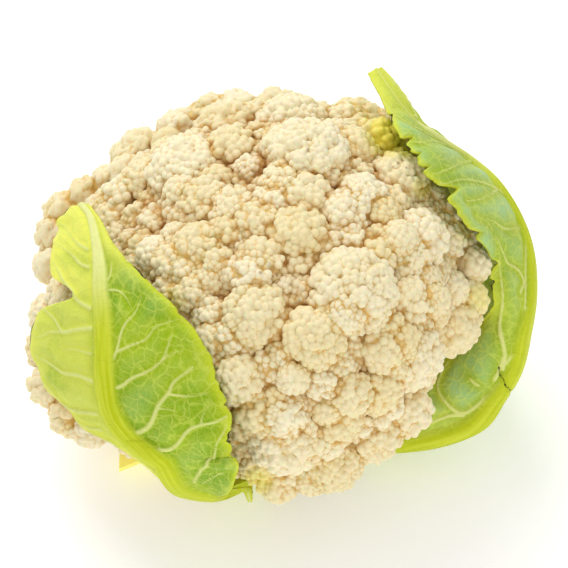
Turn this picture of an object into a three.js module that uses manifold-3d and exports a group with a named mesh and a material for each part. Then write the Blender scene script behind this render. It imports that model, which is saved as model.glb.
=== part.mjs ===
// A head of cauliflower, standing on its cut stem, with two leaves still on it.
// Millimetres, +Z up, the front of the head towards -Y, the origin at the middle of the stem's cut face.
//
// The curd leans a little to the left on its stem, as heads that grew towards the light do. It is a
// flattened ball of florets. Each floret is a dome with smaller lobes on it, and every dome and lobe
// is a ball that touches the head's outer shape from inside. The leaves lie on that outer shape.

import * as THREE from 'three';
import { ConvexHull } from 'three/addons/math/ConvexHull.js';
import { mergeVertices } from 'three/addons/utils/BufferGeometryUtils.js';
import Module from 'manifold-3d';

const wasm = await Module();
wasm.setup();

// Driving dimensions.
const HEAD_HALF_WIDTH = 87;
const HEAD_HALF_HEIGHT = 62;
const HEAD_CENTRE = new THREE.Vector3(-6, 0, 66);
const HEAD_LEAN = THREE.MathUtils.degToRad(20);
const CORE_SHARE = [0.7, 0.88]; // the solid core, as a share of the outer shape: underneath, and elsewhere
const UNDERSIDE = [-0.8, -0.45]; // where the core widens, along the head's axis
const STEM_RADIUS = 19;
const STEM_TOP = 30;
const LEAF_THICKNESS = 1.2;
const LEAF_OFF_HEAD = 1.2;
const LEAST_HEIGHT = 1; // no leaf comes nearer than this to what the head stands on
const GAP = 0.4;
const GOLDEN_ANGLE = Math.PI * (3 - Math.sqrt(5));

const CREAM = 0xefe2bd;
const PALE_GREEN = 0xdfe6b0;
const LEAF_GREEN = 0xa9c93a;
const STUB_YELLOW = 0xe4e07a;

// Places on the front of the head are given as they are seen from in front and above: millimetres
// across and up from the head's middle, in a view that looks down at this angle.
const LOOK_DOWN = THREE.MathUtils.degToRad(48);
const ACROSS = new THREE.Vector3(1, 0, 0);
const UP = new THREE.Vector3(0, Math.sin(LOOK_DOWN), Math.cos(LOOK_DOWN));
const TOWARDS = new THREE.Vector3(0, -Math.cos(LOOK_DOWN), Math.sin(LOOK_DOWN));
const HEAD_AXIS = new THREE.Vector3(-Math.sin(HEAD_LEAN), 0, Math.cos(HEAD_LEAN));

// Under the thick foot of the left leaf the head is pressed in.
const DENT = { across: -24, up: -62, towards: 28, depth: 8, spread: THREE.MathUtils.degToRad(34) };
const DENT_DIRECTION = inView(DENT.across, DENT.up, DENT.towards).normalize();

// The head's outer shape is a ball flattened along HEAD_AXIS. This is 1 on it, and more outside.
function headLevel(fromCentre, lift) {
  const along = fromCentre.dot(HEAD_AXIS);
  const aside2 = fromCentre.lengthSq() - along * along;
  const fromDent = fromCentre.angleTo(DENT_DIRECTION) / DENT.spread;
  const grown = lift - DENT.depth * Math.exp(-fromDent * fromDent);
  return aside2 / (HEAD_HALF_WIDTH + grown) ** 2 + along ** 2 / (HEAD_HALF_HEIGHT + grown) ** 2;
}

function inView(across, up, towards) {
  return new THREE.Vector3()
    .addScaledVector(ACROSS, across)
    .addScaledVector(UP, up)
    .addScaledVector(TOWARDS, towards);
}

// How far towards the viewer the head's outer shape, grown by lift, comes at a place in the view.
// Past its outline this is where the line of sight passes it most closely.
function depthAt(across, up, lift) {
  const NEAREST = 100;
  const FARTHEST = -60;
  const level = (towards) => headLevel(inView(across, up, towards), lift);
  let closest = NEAREST;
  for (let towards = NEAREST; towards > FARTHEST; towards -= 1) {
    if (level(towards) < level(closest)) closest = towards;
    if (level(closest) < 1) return closest;
  }
  return closest;
}

// A point on the head's outer shape, grown by lift, from the head's centre.
function onHead(across, up, lift = 0) {
  return inView(across, up, depthAt(across, up, lift));
}

// Florets that show from the front: across, up and radius, and how deep the floret sits.
const FRONT_FLORETS = [
  // the top row, from left to right
  [-15, 68, 7, 0], [-6, 68, 8, 0], [9, 69, 8, 0], [25, 65, 6, 1], [-20, 65, 6, 0],
  [-27, 60, 9, 0], [-9, 59, 12, 0], [15, 60, 13, 0], [38, 59, 13, 0], [35, 63, 7, 0],
  [47, 56, 8, 0], [50, 63, 5, 0],
  // the second row: two big clumps with florets round them
  [-42, 50, 11, 0], [-32, 56, 5, 0], [-47, 45, 6, 0], [-39, 46, 6, 0],
  [-23, 41, 15, 0], [-12, 51, 8, 0], [-34, 41, 7, 0], [-19, 29, 7, 0], [-13, 39, 6, 0],
  [-34, 32, 7, 1], [20, 45, 17, -2], [35, 47, 9, 0], [2, 46, 9, 1], [6, 33, 8, 0],
  [20, 33, 9, -2], [33, 26, 10, -1], [17, 19, 11, 0], [34, 38, 5, 0],
  [53, 39, 11, 1], [50, 31, 7, 2], [60, 34, 5, 2], [41, 30, 6, 4], [61, 47, 7, 1],
  // the left side
  [-55, 40, 7, 0], [-63, 36, 7, 0], [-54, 30, 8, 0], [-44, 32, 6, 2], [-72, 30, 7, 0],
  [-75, 21, 7, 0], [-76, 10, 6, 0], [-75, -9, 8, 0], [-77, -22, 7, 0], [-76, -35, 7, 0],
  [-68, -46, 7, 0], [-60, -50, 7, 0],
  // the middle
  [-34, 23, 8, 1], [-48, 19, 6, 1], [-18, 14, 10, 0], [-15, 4, 6, 0], [-34, 13, 6, 0],
  [-43, 17, 5, 1], [-23, 7, 5, 0], [-45, 9, 5, 1], [-37, 6, 5, 1], [-28, -1, 7, 2],
  [-1, 16, 8, 3], [-4, 6, 6, 2], [11, 11, 5, 4], [-6, 28, 9, 1], [2, -9, 12, 0],
  [12, 1, 6, 2], [35, -1, 16, -2], [33, -8, 6, -3], [47, -12, 7, -1], [19, 0, 6, 0],
  [22, -16, 11, -1], [35, -20, 6, 1], [43, -22, 6, 1],
  // the right side
  [46, 16, 9, 3], [45, 4, 7, 4], [53, 11, 5, 3], [60, 19, 10, 0], [69, 19, 9, 0],
  [56, 3, 7, 3], [66, 7, 5, 1], [63, -6, 8, 0], [72, 1, 6, 0], [73, -12, 10, 1],
  [80, -3, 6, 0], [68, 32, 7, 1], [78, 20, 7, 0], [81, 10, 6, 0], [76, 11, 5, 0],
  [56, -22, 12, 0], [50, -26, 5, -1], [54, -13, 7, 3],
  // under the middle, where small florets fill the way down to a large one
  [-19, -7, 6, 2], [-11, -8, 6, 2], [-13, -17, 6, 1], [-19, -14, 5, 2], [-12, -25, 5, 2],
  [-4, -30, 9, 0], [7, -25, 7, 0], [15, -30, 5, 0], [25, -31, 7, 0], [35, -35, 8, 0],
  [2, -37, 5, 0], [9, -37, 4, 0], [15, -39, 4, 0], [21, -39, 4, 0], [27, -41, 5, 0],
  [13, -50, 14, 0], [-2, -46, 6, 0], [28, -47, 7, 0], [-4, -55, 5, 0],
  [46, -40, 8, 0], [44, -51, 10, 0], [56, -43, 9, 0],
  // the lowest row
  [2, -61, 8, 0], [15, -62, 8, 0], [29, -61, 11, 0], [10, -69, 7, 0], [22, -67, 6, 0],
];

// Everywhere else the florets stand by the golden angle, as they do in a real head.
const FILL_FLORETS = 230;
const FILL_RADIUS = [9, 13];
const FILL_SPACING = 0.7; // nearest a filling floret comes to another, as a share of both radii
const LOWEST_FLORET = -0.62; // along the head's axis, as a share of its half height

// A repeatable random number from 0 to 1.
function makeRandom(seed) {
  let state = seed;
  return () => {
    state = (state * 1664525 + 1013904223) % 4294967296;
    return state / 4294967296;
  };
}

function fillFlorets(placed) {
  const random = makeRandom(7);
  const tilt = new THREE.Quaternion().setFromUnitVectors(new THREE.Vector3(0, 0, 1), HEAD_AXIS);
  for (let i = 0; i < FILL_FLORETS; i++) {
    const z = 1 - ((i + 0.5) * 2) / FILL_FLORETS;
    const angle = i * GOLDEN_ANGLE;
    const size = random();
    const radius = FILL_RADIUS[0] + (FILL_RADIUS[1] - FILL_RADIUS[0]) * size * size;
    if (z < LOWEST_FLORET) continue;
    const ring = Math.sqrt(1 - z * z) * HEAD_HALF_WIDTH;
    const centre = new THREE.Vector3(ring * Math.cos(angle), ring * Math.sin(angle), z * HEAD_HALF_HEIGHT);
    centre.applyQuaternion(tilt).divideScalar(Math.sqrt(headLevel(centre, -radius)));
    const free = placed.every(
      (f) => f.centre.distanceTo(centre) > FILL_SPACING * (f.radius + radius),
    );
    if (free) placed.push({ centre, radius });
  }
}

function allFlorets() {
  const placed = FRONT_FLORETS.map(([across, up, radius, depth]) => ({
    centre: onHead(across, up, -radius - depth),
    radius,
  }));
  fillFlorets(placed);
  return placed;
}

// The lobes on a floret are smaller balls set round its outward direction by the golden angle.
const LEAST_LOBED = 8.5; // smaller florets are one plain ball
const LOBE_CAP = THREE.MathUtils.degToRad(78);

function lobesOf(floret) {
  const { centre, radius } = floret;
  if (radius < LEAST_LOBED) return [{ centre, radius }];
  const count = Math.round(1.5 + radius * 0.36);
  const lobe = (1.25 * radius) / Math.sqrt(count);
  const turn = new THREE.Quaternion().setFromUnitVectors(
    new THREE.Vector3(0, 0, 1),
    centre.clone().normalize(),
  );
  const balls = [{ centre, radius: radius * 0.86 }];
  for (let i = 0; i < count; i++) {
    const out = LOBE_CAP * Math.sqrt((i + 0.3) / count);
    const angle = i * GOLDEN_ANGLE;
    const place = new THREE.Vector3()
      .setFromSphericalCoords(radius - lobe, out, angle)
      .applyAxisAngle(new THREE.Vector3(1, 0, 0), Math.PI / 2)
      .applyQuaternion(turn)
      .add(centre);
    balls.push({ centre: place, radius: lobe });
  }
  return balls;
}

// Under the head thick stalks run out from the stem to the florets of the rim.
const STALKS = 11;
const STALK_BALLS = 4;
const STALK_RADIUS = [9, 7.5];

function stalkBalls() {
  const balls = [];
  const below = HEAD_CENTRE.z - STEM_TOP + 6;
  for (let i = 0; i < STALKS; i++) {
    const angle = (i * 2 * Math.PI) / STALKS;
    for (let k = 0; k < STALK_BALLS; k++) {
      const share = k / (STALK_BALLS - 1);
      const out = THREE.MathUtils.lerp(24, 58, share);
      const down = THREE.MathUtils.lerp(below, below - 12, share);
      const radius = THREE.MathUtils.lerp(STALK_RADIUS[0], STALK_RADIUS[1], share);
      const centre = new THREE.Vector3(
        out * Math.cos(angle) - HEAD_CENTRE.x * (1 - share),
        out * Math.sin(angle),
        -down - out * Math.cos(angle) * Math.sin(HEAD_LEAN) * -0.5,
      );
      balls.push({ centre, radius });
    }
  }
  return balls;
}

// How far from the head's centre the outermost ball reaches in a direction.
function reachOf(direction, balls) {
  let far = coreReach(direction);
  for (const { centre, radius } of balls) {
    const along = centre.dot(direction);
    const inside = along * along - centre.lengthSq() + radius * radius;
    if (along > 0 && inside > 0) far = Math.max(far, along + Math.sqrt(inside));
  }
  return far;
}

function coreReach(direction) {
  const widened = THREE.MathUtils.smoothstep(direction.dot(HEAD_AXIS), ...UNDERSIDE);
  return THREE.MathUtils.lerp(...CORE_SHARE, widened) / Math.sqrt(headLevel(direction, 0));
}

// The curd's surface. Every ball that shows has a patch of its own, bounded by the creases that it
// shares with its neighbours: a peak, a ring part of the way down, and the corners where three balls
// meet. Seen from the head's centre a ball is a round cap. Peaks pushed out by one over the cosine of
// their cap have a convex hull whose faces look at exactly those corners.
const RING = 0.62;
const PIT = 3; // deepest that a corner lies below the rings round it
const CAP_SHARE = 0.8; // how much of a ball's half angle its cap takes
const CORE_POINTS = 200; // low points on the core, for where no ball shows
const LEAST_PROUD = 0.6; // a core point this far under a ball is left out

function curdGeometry() {
  const balls = [...allFlorets().flatMap(lobesOf), ...stalkBalls()];
  const pushed = [];
  for (const { centre, radius } of balls) {
    const cap = CAP_SHARE * Math.asin(Math.min(radius / centre.length(), 0.9));
    const direction = centre.clone().normalize();
    const own = centre.length() + radius;
    if (reachOf(direction, balls) < own + LEAST_PROUD) pushed.push(direction.divideScalar(Math.cos(cap)));
  }
  for (let i = 0; i < CORE_POINTS; i++) {
    const z = 1 - ((i + 0.5) * 2) / CORE_POINTS;
    const ring = Math.sqrt(1 - z * z);
    const angle = i * GOLDEN_ANGLE;
    const direction = new THREE.Vector3(ring * Math.cos(angle), ring * Math.sin(angle), z);
    if (reachOf(direction, balls) < coreReach(direction) + LEAST_PROUD) pushed.push(direction);
  }

  const hull = new ConvexHull().setFromPoints(pushed);
  const patches = new Map();
  const peaksOf = hull.faces.map((face, index) => {
    const peaks = [];
    let edge = face.edge;
    do {
      const { point } = edge.head();
      if (!patches.has(point)) patches.set(point, []);
      patches.get(point).push(index);
      peaks.push(point.clone().normalize());
      edge = edge.next;
    } while (edge !== face.edge);
    return peaks;
  });

  const points = [];
  const triangles = [];
  const add = (direction, reach) => {
    const p = direction.clone().multiplyScalar(reach).add(HEAD_CENTRE);
    points.push(p.x, p.y, p.z);
    return points.length / 3 - 1;
  };
  const ringPoint = (peak, face) => {
    const direction = peak.clone().lerp(face.normal, RING).normalize();
    return { direction, reach: reachOf(direction, balls) };
  };
  const corners = hull.faces.map((face, index) => {
    const rings = peaksOf[index].map((peak) => ringPoint(peak, face).reach);
    const middling = rings.reduce((sum, reach) => sum + reach, 0) / rings.length;
    return add(face.normal, Math.max(reachOf(face.normal, balls), middling - PIT));
  });
  for (const [point, faces] of patches) {
    const peak = point.clone().normalize();
    const side = new THREE.Vector3(0.3, 0.5, 0.8).cross(peak).normalize();
    const other = peak.clone().cross(side);
    const around = (f) => Math.atan2(hull.faces[f].normal.dot(other), hull.faces[f].normal.dot(side));
    faces.sort((f, g) => around(f) - around(g));
    const top = add(peak, reachOf(peak, balls));
    const ring = faces.map((f) => {
      const { direction, reach } = ringPoint(peak, hull.faces[f]);
      return add(direction, reach);
    });
    faces.forEach((f, i) => {
      const j = (i + 1) % faces.length;
      triangles.push(top, ring[i], ring[j]);
      triangles.push(ring[i], corners[f], corners[faces[j]]);
      triangles.push(ring[i], corners[faces[j]], ring[j]);
    });
  }
  return new THREE.BufferGeometry()
    .setAttribute('position', new THREE.Float32BufferAttribute(points, 3))
    .setIndex(triangles);
}

// Solids are joined and cut as manifolds, and come back as geometry.
function solidOf(geometry) {
  const bare = geometry.clone();
  bare.deleteAttribute('normal');
  bare.deleteAttribute('uv');
  const merged = mergeVertices(bare, 1e-4);
  return new wasm.Manifold(
    new wasm.Mesh({
      numProp: 3,
      vertProperties: merged.attributes.position.array,
      triVerts: new Uint32Array(merged.index.array),
    }),
  );
}

function geometryOf(solid) {
  const mesh = solid.getMesh();
  const points = new Float32Array(mesh.numVert * 3);
  for (let i = 0; i < mesh.numVert; i++) {
    points.set(mesh.vertProperties.subarray(i * mesh.numProp, i * mesh.numProp + 3), i * 3);
  }
  return new THREE.BufferGeometry()
    .setAttribute('position', new THREE.BufferAttribute(points, 3))
    .setIndex(new THREE.BufferAttribute(mesh.triVerts, 1));
}

function matte(color, roughness) {
  return new THREE.MeshStandardMaterial({ color, roughness, metalness: 0 });
}

function named(name, geometry, material) {
  const mesh = new THREE.Mesh(geometry, material);
  mesh.name = name;
  return mesh;
}

// The stem: a stub that widens into the head, cut flat below, with a small bevel round the cut.
function stemGeometry(grow = 0) {
  const profile = [
    [0, -grow],
    [STEM_RADIUS - 1.5 + grow, -grow],
    [STEM_RADIUS + grow, 1.5],
    [STEM_RADIUS - 2 + grow, 9],
    [STEM_RADIUS - 1 + grow, 18],
    [STEM_RADIUS + 1 + grow, STEM_TOP + grow],
    [0, STEM_TOP + grow],
  ].map(([r, z]) => new THREE.Vector2(r, z));
  return new THREE.LatheGeometry(profile, 28).rotateX(Math.PI / 2);
}

// Keeps a leaf's point outside the head's outer shape and above what the head stands on.
function clearOfHead(point, lift) {
  const out = point.clone().sub(HEAD_CENTRE);
  const level = Math.sqrt(headLevel(out, lift));
  if (level < 1) out.divideScalar(level);
  out.add(HEAD_CENTRE);
  out.z = Math.max(out.z, LEAST_HEIGHT);
  return out;
}

const over = (across, up, lift = LEAF_OFF_HEAD) => onHead(across, up, lift).add(HEAD_CENTRE);
const beside = (across, up, towards) => inView(across, up, towards).add(HEAD_CENTRE);
const at = (x, y, z) => new THREE.Vector3(x, y, z);

// A leaf is a sheet through rows of five points: its two edges, the middle of each half of the blade,
// and the rib. The rib is a rounded ridge on the outer face, thick at the foot and thin at the tip.
const BLADE_COLUMNS = [0.36, 0.7, 1];
const RIB_COLUMNS = [0.5, 0.87, 1.1];

function leafGeometry({ rows, steps, rib, wave, tooth }) {
  const smooth = (points) => new THREE.CatmullRomCurve3(points, false, 'catmullrom', 0.5);
  const lengthways = [0, 1, 2, 3, 4].map((c) => smooth(rows.map((row) => row[c])));
  const inner = [];
  const thickness = [];
  for (let i = 0; i < steps; i++) {
    const s = i / (steps - 1);
    const crossing = smooth(lengthways.map((curve) => curve.getPoint(s)));
    const middle = crossing.getPoint(0.5);
    const ribHalf = THREE.MathUtils.lerp(...rib.halfWidth, s);
    const ribHeight = THREE.MathUtils.lerp(...rib.height, s);
    const line = [clearOfHead(middle, LEAF_OFF_HEAD)];
    const thick = [ribHeight];
    for (const side of [-1, 1]) {
      const half = crossing.getPoint(0.5 + side * 0.5).distanceTo(middle);
      const foot = Math.min(ribHalf / half, 1 / 1.5);
      const shares = [
        ...RIB_COLUMNS.map((k) => k * foot),
        ...BLADE_COLUMNS.map((k) => THREE.MathUtils.lerp(RIB_COLUMNS.at(-1) * foot, 1, k)),
      ];
      const broad = Math.min(1, half / 20);
      shares.forEach((share, k) => {
        const p = crossing.getPoint(0.5 + side * 0.5 * share);
        const edge = k === shares.length - 1;
        if (edge) p.addScaledVector(p.clone().sub(middle).normalize(), tooth * broad * ((i * 0.618) % 1));
        const lifted = wave * broad * share ** 3 * (1 + Math.sin(i * 1.7 + side));
        const place = clearOfHead(p, LEAF_OFF_HEAD + lifted);
        const ridge = k < 2 ? Math.sqrt(1 - RIB_COLUMNS[k] ** 2) : 0;
        const depth = THREE.MathUtils.lerp(LEAF_THICKNESS, ribHeight, ridge);
        if (side < 0) {
          line.unshift(place);
          thick.unshift(depth);
        } else {
          line.push(place);
          thick.push(depth);
        }
      });
    }
    inner.push(line);
    thickness.push(thick);
  }
  return sheetGeometry(inner, thickness);
}

// A closed sheet with the grid as its inner face and a thickness at each point. The grid's rows run
// from foot to tip, and each goes round the head the same way, so that the outer face looks outwards.
function sheetGeometry(inner, thickness) {
  const rows = inner.length;
  const columns = inner[0].length;
  const outer = inner.map((line, i) =>
    line.map((p, j) => {
      const along = inner[Math.min(i + 1, rows - 1)][j].clone().sub(inner[Math.max(i - 1, 0)][j]);
      const across = line[Math.min(j + 1, columns - 1)].clone().sub(line[Math.max(j - 1, 0)]);
      return p.clone().addScaledVector(across.cross(along).normalize(), thickness[i][j]);
    }),
  );
  const points = [];
  for (const line of [...outer, ...inner]) {
    for (const p of line) points.push(p.x, p.y, Math.max(p.z, LEAST_HEIGHT));
  }
  const id = (face, i, j) => (face * rows + i) * columns + j;
  const triangles = [];
  for (let i = 0; i < rows - 1; i++) {
    for (let j = 0; j < columns - 1; j++) {
      const [a, b, c, d] = [id(0, i, j), id(0, i, j + 1), id(0, i + 1, j + 1), id(0, i + 1, j)];
      triangles.push(a, b, c, a, c, d);
      const shift = rows * columns;
      triangles.push(a + shift, c + shift, b + shift, a + shift, d + shift, c + shift);
    }
  }
  const border = [];
  for (let j = 0; j < columns - 1; j++) border.push([0, j]);
  for (let i = 0; i < rows - 1; i++) border.push([i, columns - 1]);
  for (let j = columns - 1; j > 0; j--) border.push([rows - 1, j]);
  for (let i = rows - 1; i > 0; i--) border.push([i, 0]);
  border.forEach(([i, j], k) => {
    const [m, n] = border[(k + 1) % border.length];
    triangles.push(id(0, i, j), id(1, i, j), id(1, m, n), id(0, i, j), id(1, m, n), id(0, m, n));
  });
  return new THREE.BufferGeometry()
    .setAttribute('position', new THREE.Float32BufferAttribute(points, 3))
    .setIndex(triangles);
}

// The left leaf comes out under the front, turns up the left side and lies flat on the florets.
// From foot to tip: left edge, left half, rib, right half, right edge.
const LEFT_LEAF = [
  [at(-11, -19, 14), at(-8, -20, 12), at(-3, -20.5, 11), at(3, -21, 12), at(7, -21, 14)],
  [at(-15, -32, 13), at(-12, -34, 12), at(-7, -35, 11.5), at(-2, -35, 12), at(2, -34, 13)],
  [at(-18, -43, 14), at(-15, -45, 13), at(-11, -46, 13.5), at(-8, -45, 15), at(-5, -43, 17)],
  [beside(-15, -70, 3), beside(-14, -68, 5), beside(-12, -65, 7), beside(-10, -62.5, 8), beside(-8, -61, 9)],
  [beside(-23, -69, 12), beside(-22, -67, 14), beside(-21, -63.5, 18), over(-12, -62), over(-4, -60.5)],
  [over(-34.5, -64), over(-33.5, -62), over(-32, -58.5), over(-18, -58), over(-6, -56.5)],
  [over(-47, -54.5), over(-45.5, -52.5), over(-43, -49.5), over(-23.5, -50), over(-6.5, -49.5)],
  [over(-60, -47.5), over(-54.5, -45), over(-48.5, -41.5), over(-26.5, -41.5), over(-6, -42)],
  [over(-74.5, -34, 3), over(-63.5, -32), over(-51, -30), over(-29, -31), over(-9.5, -33)],
  [over(-80.5, -19, 3), over(-66.5, -19.5), over(-51.5, -18.5), over(-33, -18), over(-15, -18)],
  [over(-77, -7, 3), over(-65.5, -7.5), over(-52, -7.5), over(-38, -6), over(-25, -5)],
  [over(-62, -1), over(-57.5, -1), over(-52.5, 0), over(-43, 1), over(-34, 3)],
  [over(-72, 6, 3), over(-63, 7), over(-53.5, 8), over(-48, 9), over(-41.5, 10)],
  [over(-73, 16, 3), over(-64, 16.5), over(-55, 16.5), over(-52, 17), over(-48.5, 17.5)],
  [over(-70, 24), over(-64, 25.5), over(-57.5, 26), over(-55.5, 26), over(-53.5, 25.5)],
  [over(-66.5, 30), over(-64.5, 31), over(-61.5, 32), over(-60, 32), over(-58.5, 31.5)],
];

// The right leaf comes out low at the right, stands off the head and cups its right side. Its near
// half starts behind the florets, which overlap it low down, and lies on them higher up. Its far half
// goes round the back. Above a tear the tip stands up free, as a narrow strip.
// From foot to tip: near edge, near half, rib, far half, far edge.
const RIGHT_LEAF = [
  [at(15, -16, 14), at(17.5, -13, 12), at(19.5, -9, 11), at(20.5, -4, 12), at(20, 0, 14)],
  [at(28, -27, 14), at(30, -23, 12), at(32, -18, 11), at(33, -12, 12), at(33, -7, 14)],
  [at(38, -35, 15), at(41, -31, 13), at(43.5, -24, 12), at(45, -15, 13), at(46, -7, 15)],
  [beside(50, -48, -12), beside(57, -51, -11), at(61, -28, 17), at(64, -13, 18), at(64, -4, 20)],
  [beside(58, -42, -14), beside(69, -45, -8), at(77.5, -27, 24.5), at(81, -9, 25), at(78, 6, 28)],
  [
    beside(66, -33, -13), beside(79, -37, -5), beside(90.5, -38.5, -9),
    beside(87, -33, -30), beside(76, -26, -44),
  ],
  [
    beside(75, -23, -11), beside(87, -27, 0), beside(96.8, -28, -7),
    beside(91, -22, -34), beside(80, -16, -50),
  ],
  [beside(84, -13, -3), beside(93, -16, 5), beside(100, -15, -5), beside(94, -11, -36), beside(82, -6, -54)],
  [beside(89, -3.5, 11), beside(96.5, -3, 8), beside(102.3, -1, -5), beside(95, 3, -36), beside(81, 7, -56)],
  [beside(86, 9, 14), beside(95, 11, 8), beside(101.8, 14, -6), beside(92, 17, -37), beside(77, 20, -57)],
  [over(79, 22, 3), over(89, 24, 7), beside(98, 27, -8), beside(85, 31, -38), beside(69, 34, -56)],
  [over(69, 35, 3), over(81, 37, 5), beside(90.5, 39.5, -9), beside(79, 44, -37), beside(60, 45, -54)],
  [over(62, 43, 3), over(72, 46, 4), beside(81, 48.5, -12), beside(70, 55, -36), beside(53, 55, -50)],
  [over(58, 50, 3), over(65, 52, 4), beside(71.5, 54.5, -4), beside(69, 59, -20), beside(60, 62, -34)],
  [over(54, 56, 3), over(58, 58, 4), beside(63, 60.5, 3), beside(63, 63, -7), beside(61, 65, -16)],
  [over(50, 65, 4), beside(53, 67, 11), beside(56, 68, 6), beside(58, 70, 0), beside(57, 71, -6)],
  [beside(47, 73, 8), beside(49, 74, 6), beside(51, 75, 4), beside(53, 76, 1), beside(54, 77, -2)],
  [beside(43, 81, 2), beside(45, 82, 1), beside(46, 83, 0), beside(47, 83, -1), beside(48, 84, -2)],
];

// Leaves that were trimmed off leave the foot of their rib: a short bar. The knife went across it
// at a slant, which is how much farther out the bar ends for each millimetre across it.
const STUBS = [
  { name: 'leaf_stub_left', angle: 209, reach: 64.5, halfWidth: 8, height: 5, slant: 0.55 },
  { name: 'leaf_stub_back_left', angle: 150, reach: 36, halfWidth: 9, height: 3, slant: -0.2 },
  { name: 'leaf_stub_back', angle: 82, reach: 38, halfWidth: 9, height: 6, slant: 0.15 },
];
const STUB_THICKNESS = 8;

function stubGeometry({ angle, reach, halfWidth, height, slant }) {
  const start = STEM_RADIUS + 1.2;
  const section = new THREE.Shape();
  section.moveTo(-halfWidth, STUB_THICKNESS * 0.75);
  section.quadraticCurveTo(-halfWidth, 0, 0, 0);
  section.quadraticCurveTo(halfWidth, 0, halfWidth, STUB_THICKNESS * 0.75);
  section.quadraticCurveTo(0, STUB_THICKNESS * 0.95, -halfWidth, STUB_THICKNESS * 0.75);
  const bar = new THREE.ExtrudeGeometry(section, {
    depth: reach - start,
    steps: 2,
    curveSegments: 6,
    bevelEnabled: false,
  });
  bar.rotateX(Math.PI / 2).rotateZ(Math.PI / 2);
  const place = bar.getAttribute('position');
  for (let i = 0; i < place.count; i += 1) {
    const share = place.getX(i) / (reach - start);
    place.setX(i, place.getX(i) + slant * place.getY(i) * share);
  }
  bar.computeVertexNormals();
  return bar.translate(start, 0, height).rotateZ(THREE.MathUtils.degToRad(angle));
}

// Assembly.
const head = new THREE.Group();

const leaves = [
  { name: 'leaf_left', rows: LEFT_LEAF, steps: 30, rib: { halfWidth: [6.5, 2], height: [6.5, 1.8] } },
  { name: 'leaf_right', rows: RIGHT_LEAF, steps: 36, rib: { halfWidth: [7.5, 1.5], height: [7, 1.8] } },
].map((leaf) => named(leaf.name, leafGeometry({ ...leaf, wave: 1.2, tooth: 2 }), matte(LEAF_GREEN, 0.5)));
const stubs = STUBS.map((stub) => named(stub.name, stubGeometry(stub), matte(STUB_YELLOW, 0.55)));

const curd = solidOf(curdGeometry()).subtract(solidOf(stemGeometry(GAP)));

head.add(named('curd', geometryOf(curd), matte(CREAM, 0.75)));
head.add(named('stem', stemGeometry(), matte(PALE_GREEN, 0.6)));
head.add(...leaves, ...stubs);

export default head;
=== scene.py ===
# %% [markdown]
# A head of cauliflower is three materials and three ways of growing. The curd is a ball of florets,
# each a dome of smaller domes, down to nodules two or three millimetres across. The leaves are thin
# quilted sheets on a thick rib. The stem and the cut leaf feet are plain watery flesh.
#
# This script dresses a imported model that already has the right size and pieces. We load it first.
# Nothing that we add may change the size.

import math

import bmesh
import bpy
import numpy as np
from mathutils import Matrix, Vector


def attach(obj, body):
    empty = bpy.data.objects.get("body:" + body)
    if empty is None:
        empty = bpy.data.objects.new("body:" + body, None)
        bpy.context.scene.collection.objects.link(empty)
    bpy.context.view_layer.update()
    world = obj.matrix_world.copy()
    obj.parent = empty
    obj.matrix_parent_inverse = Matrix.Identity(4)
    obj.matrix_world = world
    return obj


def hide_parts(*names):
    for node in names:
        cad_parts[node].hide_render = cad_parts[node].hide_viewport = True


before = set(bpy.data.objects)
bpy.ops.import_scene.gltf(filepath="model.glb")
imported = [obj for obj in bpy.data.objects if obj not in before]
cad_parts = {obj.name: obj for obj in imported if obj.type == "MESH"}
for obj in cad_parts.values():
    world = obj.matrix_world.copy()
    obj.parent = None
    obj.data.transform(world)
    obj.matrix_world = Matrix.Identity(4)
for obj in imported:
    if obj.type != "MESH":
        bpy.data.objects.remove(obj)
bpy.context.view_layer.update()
MM = 0.001
print("nodes:", sorted(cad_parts))

# %% [markdown]
# Every piece is made the same way. An operator makes a plain shape, its vertices move to where they
# belong, and each vertex notes what its colour needs. Colours are coats laid over each other, each
# as strong as the notes and some noise say.

# %% Making meshes and materials
def mesh_of(shape):
    mesh = bpy.data.meshes.new("mesh")
    shape.to_mesh(mesh)
    shape.free()
    return mesh


def corners(mesh):
    co = np.empty(len(mesh.vertices) * 3, np.float32)
    mesh.vertices.foreach_get("co", co)
    return co.reshape(-1, 3).astype(float)


def fill_mesh(mesh, points, notes):
    """Moves the vertices to points, in millimetres, and writes the notes as attributes."""
    mesh.vertices.foreach_set("co", (points * MM).astype(np.float32).ravel())
    for name, value in notes.items():
        if name not in mesh.attributes:
            mesh.attributes.new(name, "FLOAT", "POINT")
        mesh.attributes[name].data.foreach_set("value", value.astype(np.float32))


def show(name, data):
    data.name = name
    shown = bpy.data.objects.new(name, data)
    bpy.context.scene.collection.objects.link(shown)
    return shown


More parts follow.
